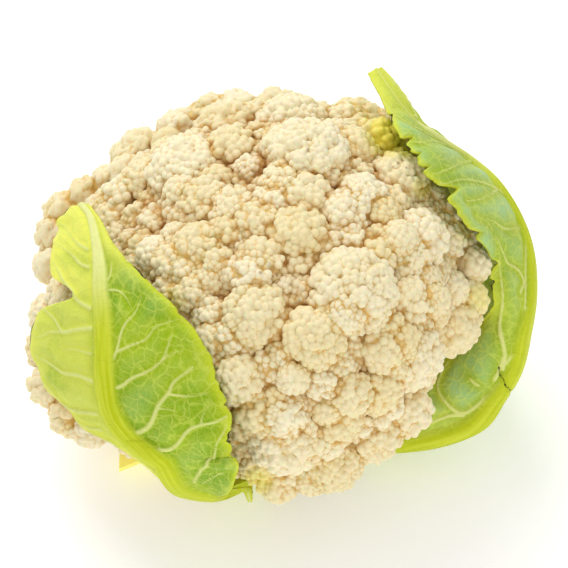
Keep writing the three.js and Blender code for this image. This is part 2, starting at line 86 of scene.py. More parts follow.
class Skin:
    """A material of one shader, and short ways to add nodes to it."""

    def __init__(self, name, settings):
        self.material = bpy.data.materials.new(name)
        self.material.use_nodes = True
        self.tree = self.material.node_tree
        self.fill(self.tree.nodes["Principled BSDF"], settings)

    def fill(self, node, inputs):
        for key, value in inputs.items():
            if isinstance(value, bpy.types.NodeSocket):
                self.tree.links.new(value, node.inputs[key])
            else:
                node.inputs[key].default_value = value

    def finish(self, colour, normal=None):
        inputs = {"Base Color": colour}
        if normal:
            inputs["Normal"] = self.node("Bump", normal).outputs[0]
        self.fill(self.tree.nodes["Principled BSDF"], inputs)
        return self.material

    def node(self, kind, inputs=None, **settings):
        made = self.tree.nodes.new("ShaderNode" + kind)
        for key, value in settings.items():
            setattr(made, key, value)
        self.fill(made, inputs or {})
        return made

    def attribute(self, name):
        return self.node("Attribute", attribute_name=name).outputs["Fac"]

    def mix(self, share, a, b):
        return self.node("Mix", {0: share, 6: a, 7: b}, data_type="RGBA").outputs[2]

    def coats(self, colour, *coats):
        for share, coat in coats:
            colour = self.mix(share, colour, coat)
        return colour

    def math(self, operation, a, b=0.0):
        return self.node("Math", {0: a, 1: b}, operation=operation).outputs[0]

    def times(self, a, b):
        return self.math("MULTIPLY", a, b)

    def vector(self, operation, a, b):
        return self.node("VectorMath", {0: a, 1: b}, operation=operation).outputs[0]

    def ramp(self, value, low, high):
        inputs = {"Value": value, "From Min": low, "From Max": high}
        return self.node("MapRange", inputs, interpolation_type="SMOOTHSTEP").outputs[0]

    def noise(self, scale, detail=3.0, rough=0.5, where=None, out="Fac"):
        where = where or self.node("TexCoord").outputs["Object"]
        inputs = {"Vector": where, "Scale": scale, "Detail": detail, "Roughness": rough}
        return self.node("TexNoise", inputs).outputs[out]


print("millimetres are", MM, "metres")

# %% [markdown]
# Everything on the front of the head was placed from where it is seen, so we keep the same view as
# three directions: across, up and towards. The head's outer shape is a flattened ball that leans to
# the left, pressed in a little where the thick foot of the left leaf lies. All lengths are in
# millimetres until a mesh is written.

# %% The head's outer shape
HEAD_HALF_WIDTH = 87
HEAD_HALF_HEIGHT = 62
HEAD_CENTRE = np.array([-6.0, 0.0, 66.0])
HEAD_LEAN = math.radians(20)
LOOK_DOWN = math.radians(48)
ACROSS = np.array([1.0, 0.0, 0.0])
UP = np.array([0.0, math.sin(LOOK_DOWN), math.cos(LOOK_DOWN)])
TOWARDS = np.array([0.0, -math.cos(LOOK_DOWN), math.sin(LOOK_DOWN)])
HEAD_AXIS = np.array([-math.sin(HEAD_LEAN), 0.0, math.cos(HEAD_LEAN)])
GOLDEN_ANGLE = math.pi * (3 - math.sqrt(5))


def in_view(across, up, towards):
    return across * ACROSS + up * UP + towards * TOWARDS


def length(v):
    return np.linalg.norm(v, axis=-1)


def unit(v):
    return v / length(v)[..., None]


DENT_DIRECTION = unit(in_view(-24, -62, 28))
DENT_DEPTH = 8
DENT_SPREAD = math.radians(34)


def head_level(p, lift=0.0):
    """The square of how far out p is: 1 on the head's outer shape grown by lift. p is from its centre."""
    along = p @ HEAD_AXIS
    aside2 = (p * p).sum(-1) - along * along
    away = np.arccos(np.clip(unit(p) @ DENT_DIRECTION, -1, 1)) / DENT_SPREAD
    grown = lift - DENT_DEPTH * np.exp(-away * away)
    return aside2 / (HEAD_HALF_WIDTH + grown) ** 2 + along**2 / (HEAD_HALF_HEIGHT + grown) ** 2


def on_head(across, up, lift=0.0):
    """The point nearest the viewer at a place in the view, from the head's centre."""
    towards = np.arange(100.0, -60.0, -0.5)
    level = head_level(in_view(across, up, 0.0) + towards[:, None] * TOWARDS, lift)
    inside = np.flatnonzero(level < 1)
    return in_view(across, up, towards[inside[0] if len(inside) else level.argmin()])


print("front of the head:", np.round(HEAD_CENTRE + on_head(0, 0), 1))

# %% [markdown]
# The camera stands where the photographer stood, far away and a little over forty-five degrees up.
# The light is a bright studio: a white sky that fills every shadow, a broad soft lamp from behind
# and above, and a pale floor.

# %% Camera, light and floor
PIXELS_PER_MM = 2.68
HEAD_IN_PICTURE = (252, 292)
PICTURE = 568
LENS = 200
SENSOR = 36
LAMPS_AIM = (0, 0, 0.06)
SKY_BRIGHTNESS = 0.64
FLOOR_HALF = 6
PAPER = {
    "Base Color": (0.97, 0.97, 0.97, 1),
    "Roughness": 0.9,
    "Emission Color": (1, 1, 1, 1),
    "Emission Strength": 0.22,
}

aim = HEAD_CENTRE + in_view(
    (PICTURE / 2 - HEAD_IN_PICTURE[0]) / PIXELS_PER_MM,
    (HEAD_IN_PICTURE[1] - PICTURE / 2) / PIXELS_PER_MM,
    0,
)
distance = PICTURE / PIXELS_PER_MM * LENS / SENSOR
camera = show("camera", bpy.data.cameras.new("camera"))
camera.data.lens = LENS
camera.data.sensor_width = SENSOR
camera.data.clip_end = 20
camera.location = Vector((aim + TOWARDS * distance) * MM)
camera.rotation_euler = (math.pi / 2 - LOOK_DOWN, 0, 0)
bpy.context.scene.camera = camera


def soft_lamp(name, size, power, place):
    lamp = show(name, bpy.data.lights.new(name, "AREA"))
    lamp.data.size = size
    lamp.data.energy = power
    lamp.location = place
    lamp.rotation_euler = (Vector(LAMPS_AIM) - Vector(place)).to_track_quat("-Z", "Y").to_euler()


soft_lamp("window", 0.8, 7.0, (-0.3, 0.6, 0.95))
soft_lamp("fill", 1.2, 4.0, (0.3, -1.1, 0.6))

world = bpy.data.worlds.new("studio")
world.use_nodes = True
sky = world.node_tree.nodes["Background"].inputs
sky["Color"].default_value = (1, 1, 1, 1)
sky["Strength"].default_value = SKY_BRIGHTNESS
bpy.context.scene.world = world
bpy.context.scene.view_settings.view_transform = "Standard"

floor_shape = bmesh.new()
bmesh.ops.create_grid(floor_shape, x_segments=2, y_segments=2, size=FLOOR_HALF)
floor = show("floor", mesh_of(floor_shape))
floor.data.materials.append(Skin("white_paper", PAPER).material)
print("camera", round(distance), "mm away")

# %% [markdown]
# The florets that show in the picture stand where they stand in life: each row of this list is a
# dome's place across and up in the view, its radius, and sometimes how far it is sunk or raised.
# A real head packs its florets by the golden angle, so the hidden ones follow that rule wherever
# there is still room. Florets crowd into clumps: they lie high in a clump's middle and drop away to
# its edge, where the deep creases of the head run. Small florets come last, each where the widest
# gap is left, first at one depth and then deeper, until no gap is wide enough to see through.

# %% Where the florets stand
FRONT_FLORETS = [
    # the top row, from left to right
    (-15, 68, 7), (-6, 68, 8), (9, 69, 8), (25, 65, 6, 1), (-20, 65, 6),
    (-27, 60, 9), (-9, 59, 12), (15, 60, 13), (38, 59, 13), (35, 63, 7),
    (47, 56, 8), (50, 63, 5),
    # the second row: two big clumps with florets round them
    (-42, 50, 11), (-32, 56, 5), (-47, 45, 6), (-39, 46, 6),
    (-23, 41, 15), (-12, 51, 8), (-34, 41, 7), (-19, 29, 7), (-13, 39, 6),
    (-34, 32, 7, 1), (20, 45, 17, -2), (35, 47, 9), (2, 46, 9, 1), (6, 33, 8),
    (20, 33, 9, -2), (33, 26, 10, -1), (17, 19, 11), (34, 38, 5),
    (53, 39, 11, 1), (50, 31, 7, 2), (60, 34, 5, 2), (41, 30, 6, 4), (61, 47, 7, 1),
    # the left side
    (-55, 40, 7), (-63, 36, 7), (-54, 30, 8), (-44, 32, 6, 2), (-72, 30, 7),
    (-75, 21, 7), (-76, 10, 6), (-75, -9, 8), (-77, -22, 7), (-76, -35, 7),
    (-68, -46, 7), (-60, -50, 7),
    # the middle
    (-34, 23, 8, 1), (-48, 19, 6, 1), (-18, 14, 10), (-15, 4, 6), (-34, 13, 6),
    (-43, 17, 5, 1), (-23, 7, 5), (-45, 9, 5, 1), (-37, 6, 5, 1), (-28, -1, 7, 2),
    (-1, 16, 8, 3), (-4, 6, 6, 2), (11, 11, 5, 4), (-6, 28, 9, 1), (2, -9, 12),
    (12, 1, 6, 2), (35, -1, 16, -2), (33, -8, 6, -3), (47, -12, 7, -1), (19, 0, 6),
    (22, -16, 11, -1), (35, -20, 6, 1), (43, -22, 6, 1),
    # the right side
    (46, 16, 9, 3), (45, 4, 7, 4), (53, 11, 5, 3), (60, 19, 10), (69, 19, 9),
    (56, 3, 7, 3), (66, 7, 5, 1), (63, -6, 8), (72, 1, 6), (73, -12, 10, 1),
    (80, -3, 6), (68, 32, 7, 1), (78, 20, 7), (81, 10, 6), (76, 11, 5),
    (56, -22, 12), (50, -26, 5, -1), (54, -13, 7, 3),
    # under the middle, where small florets fill the way down to a large one
    (-19, -7, 6, 2), (-11, -8, 6, 2), (-13, -17, 6, 1), (-19, -14, 5, 2), (-12, -25, 5, 2),
    (-4, -30, 9), (7, -25, 7), (15, -30, 5), (25, -31, 7), (35, -35, 8),
    (2, -37, 5), (9, -37, 4), (15, -39, 4), (21, -39, 4), (27, -41, 5),
    (13, -50, 14), (-2, -46, 6), (28, -47, 7), (-4, -55, 5),
    (46, -40, 8), (44, -51, 10), (56, -43, 9),
    # the lowest row
    (2, -61, 8), (15, -62, 8), (29, -61, 11), (10, -69, 7), (22, -67, 6),
]
# the clumps that the florets crowd into: across, up, radius
CLUMPS = [
    (18, 42, 19), (22, 23, 14), (-23, 41, 17), (-10, 63, 13), (15, 64, 13), (39, 62, 14), (-31, 60, 12),
    (-47, 49, 12), (-59, 36, 11), (52, 37, 12), (63, 19, 13), (70, -5, 13), (-19, 11, 13), (-36, 14, 10),
    (-28, 0, 8), (1, 9, 11), (-2, 27, 9), (37, -6, 16), (2, -10, 12), (22, -17, 11), (56, -20, 11),
    (48, 11, 9), (-12, -20, 8), (-5, -31, 9), (12, -50, 15), (35, -38, 10), (14, -31, 9), (52, -40, 11),
    (31, -57, 10), (10, -69, 10), (-72, 23, 11), (-75, -3, 11), (-72, -40, 12),
]
CLUMP_DROP = 0.42  # as a share of the clump's radius, at its edge
HIDDEN_CLUMP = 17
HIDDEN_CLUMPS = 70
CLUMP_SPACING = 0.8
GROWN = (1.08, 0.6)  # a floret's radius is this share of what the list says, and this much more
SMALL_LIES_LOW = 0.3
MIDDLING = 12
LARGE_FLORET = (8, 16)
LARGE_SPACING = 0.74
LARGE_TRIES = 900
GAP_FLORET = (6.0, 11.0)
# how deep gaps are looked for, the least and most that their florets lie low, and how much of a
# floret's radius counts as filled
GAP_LEVELS = [(5.2, 1.0, 3.0, 1.0), (6.8, 3.8, 5.4, 0.88)]
LEAST_GAP = 0.4
LOWEST_FLORET = -0.66
GAP_TRIES = 5000
chance = np.random.default_rng(11)


def spread_on_cap(count, cap, turn=0.0):
    """Directions round +Z out to the angle cap, evenly spread by the golden angle."""
    k = np.arange(count)
    cosine = 1 - (k + 0.5) / count * (1 - math.cos(cap))
    sine = np.sqrt(1 - cosine**2)
    angle = k * GOLDEN_ANGLE + turn
    return np.stack([sine * np.cos(angle), sine * np.sin(angle), cosine], 1)


def turned_to(directions, axis):
    matrix = Vector((0, 0, 1)).rotation_difference(Vector(axis)).to_matrix()
    return directions @ np.array(matrix).T


def to_shape(directions, lift=0.0):
    """Points in those directions on the head's outer shape grown by lift."""
    points = directions / np.sqrt(head_level(directions))[:, None]
    for _ in range(3):
        points = points / np.sqrt(head_level(points, lift))[:, None]
    return points


def place_clumps():
    """The middles of the clumps on the outer shape, from the head's centre, and their radii."""
    middles = [on_head(across, up) for across, up, _ in CLUMPS]
    radii = [radius for _, _, radius in CLUMPS]
    for middle in to_shape(spread_on_cap(HIDDEN_CLUMPS, math.pi)):
        gaps = length(np.array(middles) - middle)
        if (gaps > CLUMP_SPACING * (np.array(radii) + HIDDEN_CLUMP)).all():
            middles.append(middle)
            radii.append(HIDDEN_CLUMP)
    return np.array(middles), np.array(radii, float)


clump_middles, clump_radii = place_clumps()


def clump_drop(points):
    """How far florets lie below the outer shape, from nothing in a clump's middle to its edge."""
    share = length(points[:, None] - clump_middles) / clump_radii
    nearest = share.argmin(1)
    return CLUMP_DROP * clump_radii[nearest] * np.minimum(share.min(1), 1) ** 2


def looks_round(count):
    """Directions all round the head but its underside, in a shuffled order."""
    directions = turned_to(spread_on_cap(count, math.acos(LOWEST_FLORET)), HEAD_AXIS)
    return directions[chance.permutation(count)]


def place_florets():
    """Returns the florets' centres, from the head's centre, and their radii."""
    front = [(*floret, 0)[:4] for floret in FRONT_FLORETS]
    radii = [GROWN[0] * f[2] + GROWN[1] for f in front]
    drop = clump_drop(np.array([on_head(f[0], f[1]) for f in front]))
    low = [SMALL_LIES_LOW * (MIDDLING - f[2]) + f[3] + d for f, d in zip(front, drop)]
    centres = [on_head(f[0], f[1], -r - deep) for f, r, deep in zip(front, radii, low)]
    looks = looks_round(LARGE_TRIES)
    for look, drop in zip(looks, clump_drop(to_shape(looks))):
        radius = LARGE_FLORET[0] + (LARGE_FLORET[1] - LARGE_FLORET[0]) * chance.random() ** 1.3
        centre = to_shape(look[None], -radius - drop)[0]
        gaps = length(np.array(centres) - centre)
        if (gaps > LARGE_SPACING * (np.array(radii) + radius)).all():
            centres.append(centre)
            radii.append(radius)
    looks = looks_round(GAP_TRIES)
    drop = clump_drop(to_shape(looks))
    for gap_depth, least, most, share in GAP_LEVELS:
        deep = to_shape(looks, -gap_depth - drop)
        filled = zip(centres, radii)
        room = np.min([length(deep - c) - share * r for c, r in filled], axis=0)
        while room.max() > LEAST_GAP:
            widest = room.argmax()
            radius = min(GAP_FLORET[0] + room[widest] + 1.5 * chance.random(), GAP_FLORET[1])
            lies = drop[widest] + chance.uniform(least, most)
            centre = to_shape(looks[widest][None], -radius - lies)[0]
            centres.append(centre)
            radii.append(radius)
            room = np.minimum(room, length(deep - centre) - share * radius)
    return np.array(centres), np.array(radii)


floret_centres, floret_radii = place_florets()
print(len(floret_radii), "florets")

# %% [markdown]
# A floret is the same shape three times over: lobes on a dome, and nodules on the lobes. All of them
# sit by the golden angle round the direction in which the floret grows, and the nodules are finer at
# its tip. Each is a ball, so a floret is a bunch of balls, and we only need their middles and radii.
# To seat a nodule on the lobes, a ray from the floret's middle is followed to the outermost lobe.

# %% Lobes and nodules
LEAST_LOBED = 7.2  # a smaller floret is a single lobe
LOBE_CAP = math.radians(98)
NODULE_CAP = math.radians(100)
NODULE_SPACING = (2.3, 3.1)
LOBE_OVERLAP = 0.67
NODULE_OVERLAP = 0.63
NODULE_SEAT = 0.48
LEAST_TIE = 0.35  # nodules nearer than this to a groove between lobes are left out
ROUNDING = 0.3
ROW_HEIGHT = 0.87  # from one row of even triangles to the next, as a share of their sides


def reach_balls(directions, middles, sizes, floor_reach):
    """How far each ray runs to the outermost ball, and how near the two outermost are to a tie."""
    along = directions.astype(np.float32) @ middles.T.astype(np.float32)
    inside = along**2 - ((middles**2).sum(1) - sizes**2).astype(np.float32)
    reach = np.where((inside > 0) & (along >= 0), along + np.sqrt(np.maximum(inside, 0)), floor_reach)
    if reach.shape[1] > 1:
        two = np.partition(reach, -2, axis=1)[:, -2:]
    else:
        two = np.repeat(reach, 2, 1) - [[9, 0]]
    first = np.maximum(two[:, 1], floor_reach)
    tie = np.clip(first - np.maximum(two[:, 0], floor_reach), 0, None)
    return first + np.clip(ROUNDING - tie, 0, None) ** 2 / (4 * ROUNDING), tie


def lobes_of(radius, axis, random):
    """The lobes' middles and radii, from the floret's centre."""
    if radius < LEAST_LOBED:
        return np.zeros((1, 3)), np.array([radius])
    spacing = 3.4 + 0.22 * radius
    lobe = LOBE_OVERLAP * spacing
    dome = 2 * math.pi * (radius - lobe * 0.6) ** 2 * (1 - math.cos(LOBE_CAP))
    count = round(dome / (ROW_HEIGHT * spacing**2))
    directions = turned_to(spread_on_cap(count, LOBE_CAP, random.uniform(0, 6)), axis)
    directions = unit(directions + random.normal(0, 0.12 * spacing / radius, directions.shape))
    sizes = lobe * random.uniform(0.84, 1.16, count)
    return directions * (radius - sizes * random.uniform(0.92, 1.06, count))[:, None], sizes


def nodules_of(radius, axis, random):
    """Every ball of a floret, from its centre: the dome, the lobes and the nodules seated on them."""
    lobe_middles, lobes = lobes_of(radius, axis, random)
    spacing = random.uniform(*NODULE_SPACING)
    count = round(2 * math.pi * radius**2 * (1 - math.cos(NODULE_CAP)) / (ROW_HEIGHT * spacing**2))
    directions = turned_to(spread_on_cap(count, NODULE_CAP, random.uniform(0, 6)), axis)
    directions = unit(directions + random.normal(0, 0.15 * spacing / radius, directions.shape))
    share = np.arange(count) / count
    sizes = NODULE_OVERLAP * spacing * (0.86 + 0.2 * share) * random.uniform(0.82, 1.16, count)
    reach, tie = reach_balls(directions, lobe_middles, lobes, radius * 0.8)
    middles = directions * (reach - NODULE_SEAT * sizes)[:, None]
    kept = tie > LEAST_TIE
    return (
        np.concatenate([np.zeros((1, 3)), lobe_middles, middles[kept]]),
        np.concatenate([[radius * 0.84], lobes - 0.4, sizes[kept]]),
    )


counts = [len(nodules_of(r, np.array([0, 0, 1.0]), np.random.default_rng(1))[1]) for r in (4, 8, 12, 16)]
print("balls in florets of 4, 8, 12 and 16 mm:", counts)

# %% [markdown]
# The skin starts as a ball of even triangles. Its vertices are crowded onto the cap that stands out
# of the florets around it, because the rest is never seen. Each vertex slides along its own ray until
# it meets the outermost nodule, and where two nodules meet the corner is rounded a little. Florets
# that sun or damp reached are stained yellow, and a few nodules have brown specks.

# %% Growing one floret
# across, up, radius and strength of the yellow stains, and across, up and radius of the brown specks
YELLOW_STAINS = [
    (51, 59, 9, 1), (46, 66, 6, 0.5), (57, 53, 4, 0.9), (85, -2, 6, 0.5), (2, -69, 6, 0.6),
    (62, 38, 4, 0.4), (78, 22, 4, 0.25), (-28, -3, 5, 0.3),
]
SPECKS = [
    (20.5, 51, 0.6), (53.5, 47, 0.6), (55, 48.2, 0.5), (56.4, 45.2, 0.4), (51.6, 45.6, 0.4),
    (70, 22, 0.5), (71, 23.7, 0.4), (-55.6, 26, 0.5), (3.7, 7, 0.6), (9.5, 6.3, 0.7), (8, 5.7, 0.5),
    (-75.5, 3.7, 0.7), (24, 69, 0.4), (37, 43, 0.4), (44, 33, 0.4),
]
CAP_VERTICES = 0.88  # the share of the vertices that goes to the cap
CAP_MARGIN = math.radians(9)
WIDEST_CAP = math.radians(110)
SUNK_LEVEL = 0.62  # deeper in the head than this, nothing shows
CREASE_SHADE_WIDTH = 0.5
CONTACT_SHADE_REACH = 1.5
GAP_SHADE_FROM = (4.5, 9)  # where painted shade begins to brown the gaps, and how much deeper they are quite brown
ROUGH_SKIN = 1.12  # the skin's area against a smooth dome's
FINE_STEP = 0.6  # between vertices in front, and behind
COARSE_STEP = 1.1
PROBES = spread_on_cap(300, math.pi)
balls = {}


def even_ball(frequency):
    """A ball of even triangles, an icosahedron with its edges cut into steps, and its directions."""
    if frequency not in balls:
        shape = bmesh.new()
        bmesh.ops.create_icosphere(shape, subdivisions=1, radius=1)
        bmesh.ops.subdivide_edges(shape, edges=shape.edges[:], cuts=frequency - 1, use_grid_fill=True)
        mesh = mesh_of(shape)
        balls[frequency] = mesh, unit(corners(mesh))
    return balls[frequency]


def crowd_to_cap(directions, cap_angle):
    """Moves directions towards +Z, so that most of them lie on the outer cap."""
    share = (1 - directions[:, 2]) / 2
    cap = (1 - math.cos(cap_angle)) / 2
    if cap > CAP_VERTICES:
        return directions
    moved = np.where(
        share < CAP_VERTICES,
        share * cap / CAP_VERTICES,
        cap + (share - CAP_VERTICES) * (1 - cap) / (1 - CAP_VERTICES),
    )
    cosine = 1 - 2 * moved
    heading = directions[:, :2]
    heading = heading / np.maximum(length(heading)[:, None], 1e-9)
    sine = np.sqrt(np.clip(1 - cosine**2, 0, 1))
    return np.concatenate([heading * sine[:, None], cosine[:, None]], 1)


def spotted(points, axis, spots):
    """How strongly each point of a floret on the front is in one of the spots."""
    strength = np.zeros(len(points))
    if axis @ TOWARDS > -0.1:
        view = np.stack([points @ ACROSS, points @ UP], 1)
        for across, up, radius, share in spots:
            away = length(view - (across, up)) / radius
            strength = np.maximum(strength, share * np.exp(-(away**4)))
    return strength


def showing_cap(index, axis, near):
    """The angle from its axis out to which a floret stands clear of its neighbours, or nothing."""
    probes = PROBES * (floret_radii[index] + 0.3) + floret_centres[index]
    inside = length(probes[:, None] - floret_centres[near]) < floret_radii[near] - 1.2
    clear = ~inside.any(1) & (head_level(probes) > SUNK_LEVEL)
    if not clear.any():
        return None
    return min(np.arccos(np.clip(PROBES[clear] @ axis, -1, 1)).max() + CAP_MARGIN, WIDEST_CAP)


def grow_floret(index):
    """A template ball with one floret's skin on it, ready to be added to a mesh."""
    centre = floret_centres[index]
    radius = floret_radii[index]
    random = np.random.default_rng(100 + index)
    axis = unit(unit(centre) + 0.4 * unit(centre - (centre @ HEAD_AXIS) * 0.5 * HEAD_AXIS))
    near = length(floret_centres - centre) < radius + floret_radii + 3
    near[index] = False
    cap_angle = showing_cap(index, axis, near)
    if cap_angle is None:
        return None
    step = FINE_STEP if unit(centre) @ TOWARDS > -0.15 else COARSE_STEP
    area = 2 * math.pi * radius**2 * (1 - math.cos(cap_angle)) * ROUGH_SKIN
    frequency = max(6, round(math.sqrt(area / (ROW_HEIGHT * step**2) / CAP_VERTICES / 10)))
    mesh, directions = even_ball(frequency)
    directions = turned_to(crowd_to_cap(directions, cap_angle), axis)
    middles, sizes = nodules_of(radius, axis, random)
    reach, tie = reach_balls(directions, middles, sizes, radius * 0.55)
    points = centre + directions * reach[:, None]

    # Painted shade: these notes darken the colour to peach in the grooves between nodules, low on each lobe
    # and where a neighbouring floret touches, and to brown in the gaps deep below the head's outer shape.
    touch = np.full(len(points), 9.0)
    for other, other_radius in zip(floret_centres[near], floret_radii[near]):
        touch = np.minimum(touch, length(points - other) - other_radius * 0.97)
    crease_shade = np.clip(1 - tie / CREASE_SHADE_WIDTH, 0, 1)
    contact_shade = np.exp(-np.clip(touch, 0, None) / CONTACT_SHADE_REACH)
    below = np.clip((radius - reach) / 2.2, 0, 1)
    depth = (1 - np.sqrt(head_level(points))) * 0.5 * (HEAD_HALF_WIDTH + HEAD_HALF_HEIGHT)
    values = {
        "crease_shade": np.clip(0.5 * crease_shade + 0.35 * below + 0.6 * contact_shade, 0, 1),
        "deep": np.clip((depth - GAP_SHADE_FROM[0]) / GAP_SHADE_FROM[1], 0, 1) * np.clip(contact_shade + 0.4 * below, 0, 1),
        "tone": np.full(len(points), random.uniform(0, 1)),
        "stain": spotted(points, axis, YELLOW_STAINS),
        "speck": spotted(points, axis, [(*speck, 1) for speck in SPECKS]),
    }
    fill_mesh(mesh, points + HEAD_CENTRE, values)
    return mesh


# %% [markdown]
# The florets are gathered into a handful of pieces, each small enough to be kept whole, going round
# the head. Neighbours overlap where they press on each other, as they do in life.

# %% The florets
MOST_TRIANGLES = 185_000


def add_piece(name, mesh):
    mesh.polygons.foreach_set("use_smooth", np.ones(len(mesh.polygons), bool))
    piece = show(name, mesh)
    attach(piece, "root")
    return piece


def gather_florets():
    heading = np.arctan2(floret_centres[:, 1], floret_centres[:, 0])
    pieces = []
    shape = bmesh.new()
    for index in np.argsort(heading):
        floret = grow_floret(index)
        if floret is None:
            continue
        if len(shape.faces) + len(floret.polygons) > MOST_TRIANGLES:
            pieces.append(shape)
            shape = bmesh.new()
        shape.from_mesh(floret)
    pieces.append(shape)
    return [add_piece(f"florets_{number}", mesh_of(shape)) for number, shape in enumerate(pieces, 1)]


floret_pieces = gather_florets()
print([len(p.data.polygons) for p in floret_pieces], "triangles in the florets")

# %% [markdown]
# Between the florets one looks down onto the thick branches. A smaller ball under the florets closes those
# gaps. It is coloured with painted shade that darkens towards its underside, so it shows as a warm dark
# crease, and under the head as ribs that run to the stem.

# %% The branches inside
CORE_SHARE = 0.8  # the ball's size, and its size and relief underneath, as shares of the head's
UNDER_SHARE = 0.63
BRANCH_RELIEF = 0.06
BRANCHES = 13


def grow_core():
    shape = bmesh.new()
    bmesh.ops.create_icosphere(shape, subdivisions=5, radius=1)
    mesh = mesh_of(shape)
    directions = unit(corners(mesh))
    low = np.clip((directions @ HEAD_AXIS + 0.8) / 0.35, 0, 1)
    round_stem = np.arctan2(directions[:, 1], directions[:, 0])
    branch = np.abs(np.cos(BRANCHES / 2 * round_stem + 0.5 * np.sin(3 * round_stem)))
    grown = (CORE_SHARE - UNDER_SHARE - BRANCH_RELIEF) * low * low * (3 - 2 * low)
    share = UNDER_SHARE + BRANCH_RELIEF * np.sqrt(branch) + grown
    points = directions * (share / np.sqrt(head_level(directions)))[:, None]
    # painted shade: strongest at the ball's underside, and a little weaker on the branch ribs above it
    crease_shade = (0.25 + 0.75 * low) * (1 - 0.3 * branch * (1 - low))
    fill_mesh(mesh, points + HEAD_CENTRE, {"crease_shade": crease_shade, "deep": low * 0.8})
    return add_piece("inner_branches", mesh)


curd_pieces = [grow_core(), *floret_pieces]
for piece in curd_pieces:
    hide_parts("curd")

# %% [markdown]
# Curd flesh is creamy and matt, and a little light goes into it and comes out warmer. Creases are painted
# peach and deep gaps painted brown, as shade, and each floret has its own tone. The finest grains are a
# bump.

# %% The curd's flesh
CREAM = (0.85, 0.73, 0.41, 1)
CREAM_PALE = (0.91, 0.83, 0.58, 1)
CREASE_SHADE_PEACH = (0.72, 0.43, 0.08, 1)
GAP_SHADE_BROWN = (0.45, 0.22, 0.06, 1)
STAIN_YELLOW = (0.84, 0.74, 0.03, 1)
SPECK_BROWN = (0.2, 0.09, 0.03, 1)
CURD_SETTINGS = {
    "Roughness": 0.62,
    "Specular IOR Level": 0.35,
    "Subsurface Weight": 0.35,
    "Subsurface Radius": (1.0, 0.55, 0.25),
    "Subsurface Scale": 0.0012,
}


def curd_flesh():
    t = Skin("curd_flesh", CURD_SETTINGS)
    tone = t.math("ADD", t.times(t.attribute("tone"), 0.5), t.times(t.noise(90), 0.6))
    colour = t.coats(
        t.mix(t.ramp(tone, 0.2, 0.9), CREAM_PALE, CREAM),
        # painted shade: peach in the creases and brown in the deep gaps
        (t.times(t.ramp(t.attribute("crease_shade"), 0.14, 0.88), 0.9), CREASE_SHADE_PEACH),
        (t.times(t.attribute("deep"), 0.9), GAP_SHADE_BROWN),
        (t.times(t.attribute("stain"), 0.85), STAIN_YELLOW),
        (t.times(t.attribute("speck"), 0.7), SPECK_BROWN),
    )
    return t.finish(colour, {"Height": t.noise(1600, 4, 0.6), "Strength": 0.25, "Distance": 0.0003})


curd_material = curd_flesh()
for piece in curd_pieces:
    piece.data.materials.append(curd_material)
print("curd flesh on", len(curd_pieces), "pieces")

# %% [markdown]
# A leaf is a thin sheet on a thick rib. The sheet runs through the same rows of five points as the
# solid leaf does. A flat grid gets its thickness from the solidify operator first. Then every vertex
# moves to its place on the leaf, which keeps the sheet closed.
#
# The left leaf comes out under the front, turns up the left side and lies on the florets. The right
# leaf stands off the head and cups it, and its tip stands up free.

# %% The leaves' sheets
LEAF_OFF_HEAD = 1.2
BLADE_THICKNESS = 1.0
LEAST_HEIGHT = 1  # no leaf comes nearer than this to what the head stands on


def over(across, up, lift=LEAF_OFF_HEAD):
    return HEAD_CENTRE + on_head(across, up, lift)


def beside(across, up, towards):
    return HEAD_CENTRE + in_view(across, up, towards)


def at(x, y, z):
    return np.array([x, y, z], float)


def placed(rows):
    """Rows of points in space. A bare pair is a place over the florets, and a bare three is beside them."""
    ways = {2: over, 3: beside}
    return [[ways[len(p)](*p) if isinstance(p, tuple) else p for p in row] for row in rows]


# from foot to tip: left edge, left half, rib, right half, right edge
LEFT_LEAF = placed([
    [at(-11, -19, 14), at(-8, -20, 12), at(-3, -20.5, 11), at(3, -21, 12), at(7, -21, 14)],
    [at(-15, -32, 13), at(-12, -34, 12), at(-7, -35, 11.5), at(-2, -35, 12), at(2, -34, 13)],
    [at(-18, -43, 14), at(-15, -45, 13), at(-11, -46, 13.5), at(-8, -45, 15), at(-5, -43, 17)],
    [(-15, -70, 3), (-14, -68, 5), (-12, -65, 7), (-10, -62.5, 8), (-8, -61, 9)],
    [(-23, -69, 12), (-22, -67, 14), (-21, -63.5, 18), (-12, -62), (-4, -60.5)],
    [(-34.5, -64), (-33.5, -62), (-32, -58.5), (-18, -58), (-6, -56.5)],
    [(-47, -54.5), (-45.5, -52.5), (-43, -49.5), (-23.5, -50), (-6.5, -49.5)],
    [(-60, -47.5), (-54.5, -45), (-48.5, -41.5), (-26.5, -41.5), (-6, -42)],
    [over(-74.5, -34, 3), (-63.5, -32), (-51, -30), (-29, -31), (-9.5, -33)],
    [over(-80.5, -19, 3), (-66.5, -19.5), (-51.5, -18.5), (-33, -18), (-15, -18)],
    [over(-77, -7, 3), (-65.5, -7.5), (-52, -7.5), (-38, -6), (-25, -5)],
    [(-62, -1), (-57.5, -1), (-52.5, 0), (-43, 1), (-34, 3)],
    [over(-72, 6, 3), (-63, 7), (-53.5, 8), (-48, 9), (-41.5, 10)],
    [over(-73, 16, 3), (-64, 16.5), (-55, 16.5), (-52, 17), (-48.5, 17.5)],
    [(-70, 24), (-64, 25.5), (-57.5, 26), (-55.5, 26), (-53.5, 25.5)],
    [(-66.5, 30), (-64.5, 31), (-61.5, 32), (-60, 32), (-58.5, 31.5)],
])

